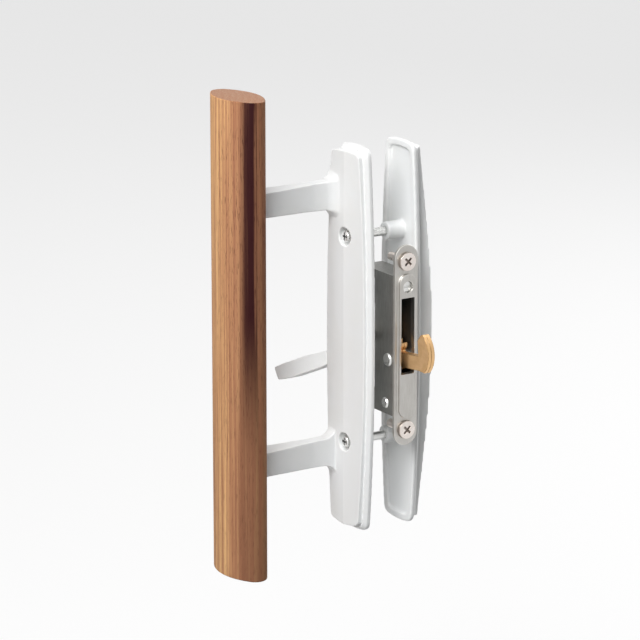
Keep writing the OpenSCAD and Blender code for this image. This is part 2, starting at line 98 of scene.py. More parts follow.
def linear(red: float, green: float, blue: float) -> Colour:
    """Turns a screen colour into the linear colour that shaders take.

    Args:
        red: Red from 0 to 255.
        green: Green from 0 to 255.
        blue: Blue from 0 to 255.

    Returns:
        The linear colour with an alpha of 1.
    """
    parts = [part / 255 for part in (red, green, blue)]
    curve = [p / 12.92 if p <= 0.04045 else ((p + 0.055) / 1.055) ** 2.4 for p in parts]
    return (curve[0], curve[1], curve[2], 1.0)


class Tree:
    """A node tree that is written one node at a time."""

    def __init__(self, tree: bpy.types.NodeTree) -> None:
        """Keeps the tree that nodes are added to."""
        self.tree = tree

    def add(self, kind: str, inputs: dict[str, Any] | None = None, **settings: Any) -> bpy.types.Node:
        """Adds a node.

        Args:
            kind: Blender's name of the node type.
            inputs: Values or output sockets, by the name or number of the input.
            settings: Properties of the node itself.

        Returns:
            The new node.
        """
        node = self.tree.nodes.new(kind)
        for key, value in settings.items():
            setattr(node, key, value)
        for key, value in (inputs or {}).items():
            socket = node.inputs[int(key) if key.isdigit() else key]
            if isinstance(value, bpy.types.NodeSocket):
                self.tree.links.new(value, socket)
            else:
                socket.default_value = value
        return node

    def coords(self) -> bpy.types.NodeSocket:
        """Returns the object coordinates, in metres."""
        return self.add("ShaderNodeTexCoord").outputs["Object"]

    def axis(self, vector: bpy.types.NodeSocket, name: str) -> bpy.types.NodeSocket:
        """Returns one part, X, Y or Z, of a vector."""
        return self.add("ShaderNodeSeparateXYZ", {"Vector": vector}).outputs[name]

    def placed(self, vector: bpy.types.NodeSocket, move: Sequence[float] = (0, 0, 0),
               scale: Sequence[float] = (1, 1, 1), turn: Sequence[float] = (0, 0, 0)) -> bpy.types.NodeSocket:
        """Moves, turns and stretches a pattern's coordinates.

        Args:
            vector: The coordinates.
            move: Shift, in metres.
            scale: Stretch along each axis.
            turn: Turn about each axis, in degrees.

        Returns:
            The new coordinates.
        """
        turned = tuple(math.radians(a) for a in turn)
        return self.add("ShaderNodeMapping", {"Vector": vector, "Location": tuple(move), "Rotation": turned,
                                              "Scale": tuple(scale)}).outputs[0]

    def noise(self, vector: bpy.types.NodeSocket, scale: float, detail: float = 3, rough: float = 0.5,
              bend: float = 0) -> bpy.types.NodeSocket:
        """Returns a noise value from 0 to 1, its size set by the scale per metre."""
        return self.add("ShaderNodeTexNoise", {"Vector": vector, "Scale": scale, "Detail": detail,
                                               "Roughness": rough, "Distortion": bend}).outputs[0]

    def math(self, operation: str, one: Any, two: Any = 0.0, clamp: bool = False) -> bpy.types.NodeSocket:
        """Returns the result of one sum."""
        return self.add("ShaderNodeMath", {"0": one, "1": two}, operation=operation, use_clamp=clamp).outputs[0]

    def span(self, value: Any, low: float, high: float, start: float = 0, stop: float = 1,
             smooth: bool = True) -> bpy.types.NodeSocket:
        """Maps low to high onto start to stop, clamped and eased at both ends."""
        kind = "SMOOTHSTEP" if smooth else "LINEAR"
        return self.add("ShaderNodeMapRange", {"Value": value, "From Min": low, "From Max": high, "To Min": start,
                                               "To Max": stop}, interpolation_type=kind).outputs[0]

    def mix(self, share: Any, one: Any, two: Any, blend: str = "MIX") -> bpy.types.NodeSocket:
        """Mixes two colours by a share from 0 to 1."""
        node = self.add("ShaderNodeMix", data_type="RGBA", blend_type=blend)
        for index, value in ((0, share), (6, one), (7, two)):
            if isinstance(value, bpy.types.NodeSocket):
                self.tree.links.new(value, node.inputs[index])
            else:
                node.inputs[index].default_value = value
        return node.outputs[2]

    def ramp(self, value: bpy.types.NodeSocket, stops: Sequence[tuple[float, Colour]]) -> bpy.types.NodeSocket:
        """Returns the colour that a value picks from a row of stops."""
        node = self.add("ShaderNodeValToRGB", {"0": value})
        bar = node.color_ramp.elements
        while len(bar) < len(stops):
            bar.new(0.5)
        for element, (place, colour) in zip(bar, stops):
            element.position, element.color = place, colour
        return node.outputs[0]

    def bump(self, height: bpy.types.NodeSocket, depth: float, strength: float = 1.0) -> bpy.types.NodeSocket:
        """Returns a normal bent by a height from 0 to 1, with its depth in metres."""
        return self.add("ShaderNodeBump", {"Height": height, "Distance": depth, "Strength": strength}).outputs[0]


class Effects:
    """The node groups that more than one finish uses, each built once."""

    def __init__(self) -> None:
        """Builds the groups."""
        self.streaks = self._streaks()
        self.dimples = self._dimples()
        self.handling = self._handling()
        self.wear_and_highlight = self._wear_and_highlight()

    def use(self, tree: Tree, group: bpy.types.NodeTree, inputs: dict[str, Any]) -> bpy.types.NodeSocket:
        """Places a group in a material.

        Args:
            tree: The material's tree.
            group: One of this class's groups.
            inputs: Values or sockets by the name of the group's input.

        Returns:
            The group's only output.
        """
        node = tree.add("ShaderNodeGroup", node_tree=group)
        for name, value in inputs.items():
            if isinstance(value, bpy.types.NodeSocket):
                tree.tree.links.new(value, node.inputs[name])
            else:
                node.inputs[name].default_value = value
        return node.outputs[0]

    def _group(self, name: str, values: dict[str, float], result: str) -> tuple[Tree, Any, Any]:
        """Starts a group with a vector input, some values and one output.

        Args:
            name: The group's name.
            values: Each value input with its default.
            result: The output's name.

        Returns:
            The group's tree, its input node and its output node.
        """
        group = bpy.data.node_groups.new(name, "ShaderNodeTree")
        group.interface.new_socket("Vector", in_out="INPUT", socket_type="NodeSocketVector")
        for key, value in values.items():
            group.interface.new_socket(key, in_out="INPUT", socket_type="NodeSocketFloat").default_value = value
        group.interface.new_socket(result, in_out="OUTPUT", socket_type="NodeSocketFloat")
        tree = Tree(group)
        return tree, tree.add("NodeGroupInput"), tree.add("NodeGroupOutput")

    def _streaks(self) -> bpy.types.NodeTree:
        """Fine lines that run along Z, as in brushed metal and straight grain."""
        tree, given, out = self._group("streaks", {"Across": 900, "Along": 20, "Detail": 4}, "Value")
        scale = tree.add("ShaderNodeCombineXYZ", {"X": given.outputs["Across"], "Y": given.outputs["Across"],
                                                  "Z": given.outputs["Along"]}).outputs[0]
        drawn = tree.add("ShaderNodeVectorMath", {"0": given.outputs["Vector"], "1": scale},
                         operation="MULTIPLY").outputs[0]
        noise = tree.add("ShaderNodeTexNoise", {"Vector": drawn, "Scale": 1.0, "Detail": given.outputs["Detail"],
                                                "Roughness": 0.6}).outputs[0]
        tree.tree.links.new(tree.span(noise, 0.25, 0.75, smooth=False), out.inputs["Value"])
        return tree.tree

    def _dimples(self) -> bpy.types.NodeTree:
        """The shallow dimples of sprayed paint or rolled sheet."""
        tree, given, out = self._group("dimples", {"Scale": 700, "Grit": 0.25}, "Height")
        soft = tree.add("ShaderNodeTexNoise", {"Vector": given.outputs["Vector"], "Scale": given.outputs["Scale"],
                                               "Detail": 1.0, "Roughness": 0.4}).outputs[0]
        fine = tree.add("ShaderNodeTexNoise", {"Vector": given.outputs["Vector"], "Scale": 3200.0,
                                               "Detail": 2.0}).outputs[0]
        grit = tree.math("MULTIPLY", fine, given.outputs["Grit"])
        tree.tree.links.new(tree.math("ADD", soft, grit), out.inputs["Height"])
        return tree.tree

    def _handling(self) -> bpy.types.NodeTree:
        """Broad patches where hands have changed the gloss."""
        tree, given, out = self._group("handling", {"Scale": 45}, "Value")
        broad = tree.add("ShaderNodeTexNoise", {"Vector": given.outputs["Vector"], "Scale": given.outputs["Scale"],
                                                "Detail": 3.0, "Roughness": 0.55, "Distortion": 0.4}).outputs[0]
        tree.tree.links.new(tree.span(broad, 0.3, 0.7), out.inputs["Value"])
        return tree.tree

    def _wear_and_highlight(self) -> bpy.types.NodeTree:
        """Patchy convex edges, from the edge attribute that the skins carry: wear on the metal finishes, a painted
        highlight on the white enamel.
        """
        tree, given, out = self._group("rubbed edges", {"Amount": 1.0, "Patch": 260}, "Mask")
        edge = tree.add("ShaderNodeAttribute", attribute_name="edge").outputs["Fac"]
        patch = tree.add("ShaderNodeTexNoise", {"Vector": given.outputs["Vector"], "Scale": given.outputs["Patch"],
                                                "Detail": 3.0}).outputs[0]
        patchy_edge = tree.math("MULTIPLY", edge, tree.span(patch, 0.3, 0.62, 0.35, 1.0))
        tree.tree.links.new(tree.math("MULTIPLY", patchy_edge, given.outputs["Amount"], clamp=True), out.inputs["Mask"])
        return tree.tree


@dataclass(frozen=True)
class Finish:
    """What all finishes share: a name and the values of the shader."""

    name: str
    colour: Colour = (0.8, 0.8, 0.8, 1.0)
    metallic: float = 0.0
    roughness: float = 0.4

    def material(self, effects: Effects) -> bpy.types.Material:
        """Makes the material.

        Args:
            effects: The shared node groups.

        Returns:
            The finished material.
        """
        made = bpy.data.materials.new(self.name)
        made.use_nodes = True
        tree = Tree(made.node_tree)
        shader = made.node_tree.nodes["Principled BSDF"]
        shader.inputs["Base Color"].default_value = self.colour
        shader.inputs["Metallic"].default_value = self.metallic
        shader.inputs["Roughness"].default_value = self.roughness
        self.dress(tree, shader, effects)
        return made

    def dress(self, tree: Tree, shader: bpy.types.Node, effects: Effects) -> None:
        """Adds this finish's patterns to the shader. Each finish has its own."""
        raise NotImplementedError

    def join(self, tree: Tree, shader: bpy.types.Node, **sockets: bpy.types.NodeSocket) -> None:
        """Links patterns to the shader's inputs, named with underscores."""
        for name, socket in sockets.items():
            tree.tree.links.new(socket, shader.inputs[name.replace("_", " ").title()])


@dataclass(frozen=True)
class CastPaint(Finish):
    """White stoving enamel on a zinc casting."""

    # Painted highlight: the convex edges are painted this brighter white.
    edge_colour: Colour = (0.93, 0.93, 0.925, 1.0)

    def dress(self, tree: Tree, shader: bpy.types.Node, effects: Effects) -> None:
        """Adds orange peel, a painted highlight along the convex edges and handled patches."""
        place = tree.coords()
        shader.inputs["Coat Weight"].default_value = 0.25
        shader.inputs["Coat Roughness"].default_value = 0.18
        handled = effects.use(tree, effects.handling, {"Vector": place, "Scale": 38.0})
        wear_and_highlight = effects.use(tree, effects.wear_and_highlight, {"Vector": place, "Amount": 0.8, "Patch": 180.0})
        warm = tuple(c * s for c, s in zip(self.colour, (0.985, 0.98, 0.965))) + (1.0,)
        body = tree.mix(handled, self.colour, warm[:4])
        peel = effects.use(tree, effects.dimples, {"Vector": place, "Scale": 520.0, "Grit": 0.12})
        # The edge mask paints the convex edges brighter than the enamel: a painted highlight.
        self.join(tree, shader, base_color=tree.mix(wear_and_highlight, body, self.edge_colour),
                  roughness=tree.span(handled, 0, 1, self.roughness - 0.04, self.roughness + 0.07),
                  normal=tree.bump(peel, 0.00004, 0.5))


@dataclass(frozen=True)
class OiledWood(Finish):
    """A straight-grained reddish hardwood, browner and with a dark band towards one side; these are partly the
    wood's figure and partly painted shade.
    """

    top_z: float = 120.5
    pale: Colour = field(default_factory=lambda: linear(254, 206, 144))
    middle: Colour = field(default_factory=lambda: linear(216, 162, 116))
    brown: Colour = field(default_factory=lambda: linear(158, 106, 80))
    # Used for the pores, and for the dark band that is partly painted shade.
    dark: Colour = field(default_factory=lambda: linear(50, 20, 21))
    end_grain: Colour = field(default_factory=lambda: linear(172, 138, 114))

    def dress(self, tree: Tree, shader: bpy.types.Node, effects: Effects) -> None:
        """Adds growth rings, streaks, pores, end grain, and a browner side and dark band that are partly figure and
        partly painted shade.
        """
        place = tree.coords()
        x, y, z = (tree.axis(place, name) for name in "XYZ")
        drift = tree.noise(tree.placed(place, scale=(30, 30, 5)), 1.0, 2, 0.5)
        ring_place = tree.placed(place, move=(0.06, 0.16, 0), turn=(1.2, -0.8, 0))
        ring_x, ring_y = tree.axis(ring_place, "X"), tree.axis(ring_place, "Y")
        reach = tree.math("SQRT", tree.math("ADD", tree.math("MULTIPLY", ring_x, ring_x),
                                            tree.math("MULTIPLY", ring_y, ring_y)))
        reach = tree.math("ADD", reach, tree.math("MULTIPLY", drift, 0.006))
        ring = tree.math("FRACT", tree.math("MULTIPLY", reach, 330.0))
        late = tree.math("MULTIPLY", tree.span(ring, 0.25, 0.85), tree.span(ring, 1.0, 0.9))
        streak = effects.use(tree, effects.streaks, {"Vector": place, "Across": 820.0, "Along": 7.0, "Detail": 5.0})
        fine = effects.use(tree, effects.streaks, {"Vector": place, "Across": 2300.0, "Along": 42.0, "Detail": 3.0})
        pore = effects.use(tree, effects.streaks, {"Vector": place, "Across": 2500.0, "Along": 170.0, "Detail": 2.0})
        pore = tree.span(pore, 0.64, 0.88)
        cloud = tree.noise(tree.placed(place, scale=(55, 55, 14)), 1.0, 3, 0.55)

        tone = tree.math("ADD", tree.math("MULTIPLY", streak, 0.62), tree.math("MULTIPLY", cloud, 0.3))
        tone = tree.math("ADD", tone, tree.math("MULTIPLY", late, 0.06))
        body = tree.ramp(tone, [(0.28, self.pale), (0.52, self.middle), (0.80, self.brown)])
        body = tree.mix(tree.math("MULTIPLY", fine, 0.42), body, self.brown)

        low = tree.math("DIVIDE", tree.math("SUBTRACT", self.top_z * MM, z), 0.229)
        sway = tree.math("MULTIPLY", tree.math("SUBTRACT", drift, 0.5), 0.010)
        # plane runs across the grip towards the camera's right, so the bands laid along it follow the view.
        plane = tree.math("ADD", tree.math("MULTIPLY", x, 0.53), tree.math("MULTIPLY", y, 0.848))
        side = tree.math("ADD", tree.math("ADD", plane, sway), tree.math("MULTIPLY", streak, 0.0036))
        start = tree.math("ADD", side, tree.math("MULTIPLY", tree.span(low, 0.30, 0.95), 0.004))
        # Dark band near the grip's end on the camera's right, strongest in the upper part: partly the wood's dark
        # figure, partly painted shade on the side turned from the key light.
        dark_band_figure_and_shade = tree.math("MULTIPLY", tree.span(start, -0.0540, -0.0468), tree.span(side, -0.0425, -0.0450, 0.35, 1))
        depth = tree.span(low, 0.42, 0.80, 1.0, 0.35)
        dark_band_figure_and_shade = tree.math("MULTIPLY", dark_band_figure_and_shade, depth)
        # Browner towards the camera's right: partly the wood's colour, partly painted shade.
        red = tree.math("MULTIPLY", tree.span(side, -0.0655, -0.0525), 0.72)
        body = tree.mix(red, body, self.brown)
        body = tree.mix(dark_band_figure_and_shade, body, self.dark)
        figured = tree.math("MULTIPLY", tree.span(side, -0.0670, -0.0590), tree.span(low, 0.9, 0.2))
        flecks = tree.math("ADD", tree.math("MULTIPLY", figured, 0.35), 0.25)
        body = tree.mix(tree.math("MULTIPLY", pore, flecks), body, self.dark)

        end = tree.math("GREATER_THAN", tree.math("ABSOLUTE", tree.axis(
            tree.add("ShaderNodeNewGeometry").outputs["Normal"], "Z")), 0.75)
        dots = tree.noise(tree.placed(place, scale=(1, 1, 0.2)), 1500.0, 3, 0.6)
        ends = tree.mix(tree.span(dots, 0.42, 0.68), self.end_grain, self.brown)
        ends = tree.mix(tree.math("MULTIPLY", late, 0.25), ends, self.brown)
        body = tree.mix(end, body, ends)

        height = tree.math("SUBTRACT", tree.math("MULTIPLY", fine, 0.5), tree.math("MULTIPLY", pore, 0.9))
        shader.inputs["Specular IOR Level"].default_value = 0.08
        self.join(tree, shader, base_color=body, roughness=tree.span(pore, 0, 1, self.roughness, 0.75),
                  normal=tree.bump(height, 0.00010, 0.7))


@dataclass(frozen=True)
class BrushedSteel(Finish):
    """Sheet steel brushed along Z."""

    line_colour: Colour = (0.3, 0.29, 0.28, 1.0)
    across: float = 5200.0

    def dress(self, tree: Tree, shader: bpy.types.Node, effects: Effects) -> None:
        """Adds brushing, faint stains and lighter worn edges."""
        place = tree.coords()
        lines = effects.use(tree, effects.streaks, {"Vector": place, "Across": self.across, "Along": 130.0,
                                                    "Detail": 4.0})
        stain = effects.use(tree, effects.handling, {"Vector": place, "Scale": 160.0})
        wear_and_highlight = effects.use(tree, effects.wear_and_highlight, {"Vector": place, "Amount": 0.6, "Patch": 400.0})
        body = tree.mix(tree.math("MULTIPLY", lines, 0.45), self.colour, self.line_colour)
        body = tree.mix(tree.math("MULTIPLY", stain, 0.18), body, self.line_colour)
        bright = tuple(min(1.0, c * 1.3) for c in self.colour[:3]) + (1.0,)
        self.join(tree, shader, base_color=tree.mix(wear_and_highlight, body, bright),
                  roughness=tree.span(lines, 0, 1, self.roughness - 0.06, self.roughness + 0.12),
                  normal=tree.bump(lines, 0.00002, 0.5))


@dataclass(frozen=True)
class Plated(Finish):
    """Zinc, nickel or yellow plating with a soft bloom."""

    edge_colour: Colour = (0.4, 0.4, 0.4, 1.0)
    bloom_colour: Colour = (0.5, 0.5, 0.5, 1.0)
    edge_amount: float = 0.6
    # Painted shade laid in a screw's cross recess.
    recess_shade_colour: Colour = (0.09, 0.09, 0.09, 1.0)

    def dress(self, tree: Tree, shader: bpy.types.Node, effects: Effects) -> None:
        """Adds bloom, fine scuffs, a change of colour at the edges and painted shade in a screw's cross recess."""
        place = tree.coords()
        bloom = effects.use(tree, effects.handling, {"Vector": place, "Scale": 210.0})
        scuff = effects.use(tree, effects.dimples, {"Vector": place, "Scale": 1400.0, "Grit": 0.5})
        wear_and_highlight = effects.use(tree, effects.wear_and_highlight, {"Vector": place, "Amount": self.edge_amount, "Patch": 500.0})
        body = tree.mix(tree.math("MULTIPLY", bloom, 0.5), self.colour, self.bloom_colour)
        # Painted shade: the cross recess is darkened by its depth, brownish on the face screws.
        recess = tree.add("ShaderNodeAttribute", attribute_name="recess").outputs["Fac"]
        body = tree.mix(tree.math("MULTIPLY", recess, 0.8), body, self.recess_shade_colour)
        self.join(tree, shader, base_color=tree.mix(wear_and_highlight, body, self.edge_colour),
                  roughness=tree.span(bloom, 0, 1, self.roughness - 0.05, self.roughness + 0.1),
                  normal=tree.bump(scuff, 0.00002, 0.6))


class Skins:
    """Makes softened copies of CAD nodes and dresses what stays."""

    def __init__(self, frame: dict[str, Any], finishes: dict[Slot, bpy.types.Material]) -> None:
        """Keeps the frame and the materials by slot."""
        self.nodes = frame["nodes"]
        self.finishes = finishes

    def evaluated(self, piece: bpy.types.Object) -> None:
        """Applies a piece's modifiers to its mesh."""
        graph = bpy.context.evaluated_depsgraph_get()
        fresh = bpy.data.meshes.new_from_object(piece.evaluated_get(graph))
        piece.modifiers.clear()
        piece.data = fresh

    def merged(self, node: str, name: str) -> bpy.types.Object:
        """Copies a CAD node's mesh into a new piece and joins its loose triangles.

        Args:
            node: The CAD node.
            name: The new piece's name.

        Returns:
            The new piece, with its triangles welded where they meet.
        """
        shape = bmesh.new()
        shape.from_mesh(self.nodes[node].data)
        bmesh.ops.remove_doubles(shape, verts=shape.verts, dist=2e-6)
        return self.piece(name, shape)

    def piece(self, name: str, shape: bmesh.types.BMesh) -> bpy.types.Object:
        """Turns a finished bmesh into a smooth-shaded piece.

        Args:
            name: The piece's name.
            shape: The bmesh, which is freed.

        Returns:
            The new piece, linked to the scene.
        """
        mesh = bpy.data.meshes.new(name)
        for face in shape.faces:
            face.smooth = True
        shape.to_mesh(mesh)
        shape.free()
        made = bpy.data.objects.new(name, mesh)
        bpy.context.scene.collection.objects.link(made)
        return made

    def cast(self, node: str, name: str, voxel: float, passes: int, cutters: Sequence[bpy.types.Object] = (),
             additions: Sequence[bpy.types.Object] = (), keep: float = 1.0) -> bpy.types.Object:
        """Gives a CAD node the soft edges of a casting.

        Args:
            node: The CAD node.
            name: The new piece's name.
            voxel: The skin's grid, in millimetres.
            passes: How often the skin is smoothed.
            cutters: Closed pieces to cut out first. They are used up.
            additions: Closed pieces to join on first. They are used up.
            keep: The share of the skin's triangles that stays.

        Returns:
            The new piece.
        """
        piece = self.merged(node, name)
        if cutters:
            self.cut(piece, cutters)
        if additions:
            self.join(piece, additions)
        skin = piece.modifiers.new("skin", "REMESH")
        skin.mode, skin.voxel_size, skin.use_smooth_shade = "VOXEL", voxel * MM, True
        ease = piece.modifiers.new("ease", "SMOOTH")
        ease.factor, ease.iterations = 0.5, passes
        if keep < 1.0:
            thin = piece.modifiers.new("thin", "DECIMATE")
            thin.ratio = keep
        self.evaluated(piece)
        self.mark_edges(piece)
        return piece

    def cut(self, piece: bpy.types.Object, cutters: Sequence[bpy.types.Object]) -> None:
        """Cuts closed pieces out of a piece, and removes those pieces.

        Args:
            piece: The piece that is cut.
            cutters: The pieces that are used up.
        """
        for cutter in cutters:
            cut = piece.modifiers.new("cut", "BOOLEAN")
            cut.operation, cut.object, cut.solver = "DIFFERENCE", cutter, "EXACT"
        self.evaluated(piece)
        for used in cutters:
            bpy.data.objects.remove(used)

    def join(self, piece: bpy.types.Object, additions: Sequence[bpy.types.Object]) -> None:
        """Adds the meshes of other pieces to a piece, and removes those pieces.

        Args:
            piece: The piece that grows.
            additions: The pieces that are used up.
        """
        shape = bmesh.new()
        shape.from_mesh(piece.data)
        for used in additions:
            shape.from_mesh(used.data)
            bpy.data.objects.remove(used)
        shape.to_mesh(piece.data)
        shape.free()

    def mark_edges(self, piece: bpy.types.Object) -> None:
        """Writes how sharply each point of a skin stands out, from 0 to 1.

        Args:
            piece: The piece, whose mesh gets the attribute edge.
        """
        shape = bmesh.new()
        shape.from_mesh(piece.data)
        layer = shape.verts.layers.float.new("edge")
        for vert in shape.verts:
            bend = sum(edge.calc_face_angle_signed(0.0) for edge in vert.link_edges)
            vert[layer] = max(0.0, min(1.0, bend / max(1, len(vert.link_edges)) * 3.2))
        for face in shape.faces:
            face.smooth = True
        shape.to_mesh(piece.data)
        shape.free()

    def mark_recess(self, piece: bpy.types.Object, mouth: Vector, outward: Vector, radius: float) -> None:
        """Writes how deep each point lies in a screw's cross recess, from 0 to 1.

        Args:
            piece: The screw, whose mesh gets the attribute recess.
            mouth: The middle of the head's face, in millimetres.
            outward: The direction that the head faces.
            radius: How far the recess reaches from the screw's axis.
        """
        marks = piece.data.attributes.new("recess", "FLOAT", "POINT")
        for vert, mark in zip(piece.data.vertices, marks.data):
            away = vert.co / MM - mouth
            depth = -away.dot(outward)
            if 0 < depth < 2 and (away + outward * depth).length < radius:
                mark.value = min(1.0, depth / 0.35)

    def dome(self, piece: bpy.types.Object, mouth: Vector, outward: Vector, radius: float, rise: float) -> None:
        """Crowns a screw's flat head, with its recess.

        Args:
            piece: The screw.
            mouth: The middle of the head's face, in millimetres.
            outward: The direction that the head faces.
            radius: The radius of the head's face.
            rise: How far its middle rises.
        """
        for vert in piece.data.vertices:
            away = vert.co / MM - mouth
            depth = -away.dot(outward)
            share = (away + outward * depth).length / radius
            if depth < 2 and share < 1:
                vert.co += outward * (rise * (1 - share**6) * MM)

    def settle(self, piece: bpy.types.Object, slot: Slot, body: Body, *nodes: str) -> bpy.types.Object:
        """Finishes a new piece: its material, its body and what it stands for.

        Args:
            piece: The piece.
            slot: The material slot.
            body: The body that it rides on.
            nodes: The CAD nodes that it replaces.

        Returns:
            The same piece.
        """
        piece.data.materials.clear()
        piece.data.materials.append(self.finishes[slot])
        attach(piece, body.value)
        if nodes:
            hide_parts(*nodes)
        LOG.info("%s: %d faces, rides on %s", piece.name, len(piece.data.polygons), body.value)
        return piece

    def paint(self, node: str, slot: Slot) -> None:
        """Gives a CAD node that stays its finish."""
        target = self.nodes[node]
        target.data.materials.clear()
        target.data.materials.append(self.finishes[slot])
        LOG.info("%s: CAD node in %s", node, slot.value)


@dataclass
class Grip:
    """The wooden grip, an oval bar with flat-cut, slightly eased ends."""

    skins: Skins
    length: float = 229.0
    width: float = 38.6
    depth: float = 20.0
    end_radius: float = 5.6
    middle: tuple[float, float, float] = (-10.4, -58.7, 6.0)
    ease: float = 0.7

    def oval_point(self, share: float) -> Vector:
        """Finds a point of the oval.

        Args:
            share: Place round the oval, from 0 to 1.

        Returns:
            The point, in millimetres from the oval's middle.
        """
        centre = self.width / 2 - self.end_radius
        half = self.depth / 2
        long = (centre**2 + half**2 - self.end_radius**2) / (2 * (half - self.end_radius))
        join = math.asin(centre / (long - self.end_radius))
        angle = share * 2 * math.pi
        across = math.atan2(math.cos(angle), math.sin(angle))
        side = 1 if math.sin(angle) >= 0 else -1
        tilt = across if side > 0 else math.atan2(math.cos(angle), -math.sin(angle))
        if abs(tilt) <= join:
            return Vector((long * math.sin(tilt), side * (long * math.cos(tilt) - long + half), 0))
        end = math.copysign(1, tilt)
        return Vector((end * centre + self.end_radius * math.sin(tilt), side * self.end_radius * math.cos(tilt), 0))

    def build(self) -> None:
        """Turns a ring into the oval, draws it out and eases both ends."""
        shape = bmesh.new()
        count = 160
        ring = bmesh.ops.create_circle(shape, cap_ends=True, radius=1.0, segments=count)["verts"]
        centre = Vector(self.middle)
        for index, vert in enumerate(ring):
            spot = self.oval_point(index / count) + centre - Vector((0, 0, self.length / 2))
            vert.co = spot * MM
        grown = bmesh.ops.extrude_face_region(shape, geom=list(shape.faces))["geom"]
        top = [part for part in grown if isinstance(part, bmesh.types.BMVert)]
        bmesh.ops.translate(shape, verts=top, vec=(0, 0, self.length * MM))
        bmesh.ops.recalc_face_normals(shape, faces=shape.faces)
        rims = [e for e in shape.edges if abs(e.verts[0].co.z - e.verts[1].co.z) < 1e-6]
        bmesh.ops.bevel(shape, geom=rims, offset=self.ease * MM, segments=4, profile=0.5, affect="EDGES",
                        material=-1)
        self.skins.settle(self.skins.piece("grip_bar", shape), Slot.WOOD, Body.FIXED, "wood_grip")


@dataclass(frozen=True)
class PlateOutline:
    """The outline of a plate, as in the CAD source, in millimetres."""

    half_width: float = 15.7
    half_height: float = 93.5
    bow: float = 1050.0
    end: float = 48.0
    corner: float = 4.0

    def three_sides(self, inset: float) -> list[tuple[float, float]]:
        """Walks along the top, the right side and the bottom, at an inset from the edge.

        Args:
            inset: Distance inside the outline.

        Returns:
            Points X and Z from the top left to the bottom left.
        """
        tall, end, round_ = self.half_height - inset, self.end - inset, self.corner - inset / 3
        x = self.half_width - inset - tall * tall / (2 * self.bow) * 0.93 - round_
        z = tall - end + math.sqrt((end - round_) ** 2 - x * x)
        start = math.atan2(z - tall + end, x)
        top = [(end * math.sin(a), tall - end + end * math.cos(a))
               for a in (math.radians(d) for d in range(-24, 90, 2)) if a < math.pi / 2 - start - 0.01]
        round_top = [(x + round_ * math.cos(start * (1 - k / 8)), z + round_ * math.sin(start * (1 - k / 8)))
                     for k in range(9)]
        half = top + round_top
        side = [(self.half_width - inset - h * h / (2 * self.bow), h) for h in range(80, -1, -8)]
        upper = half + side
        return upper + [(px, -pz) for px, pz in reversed(upper[:-1])]


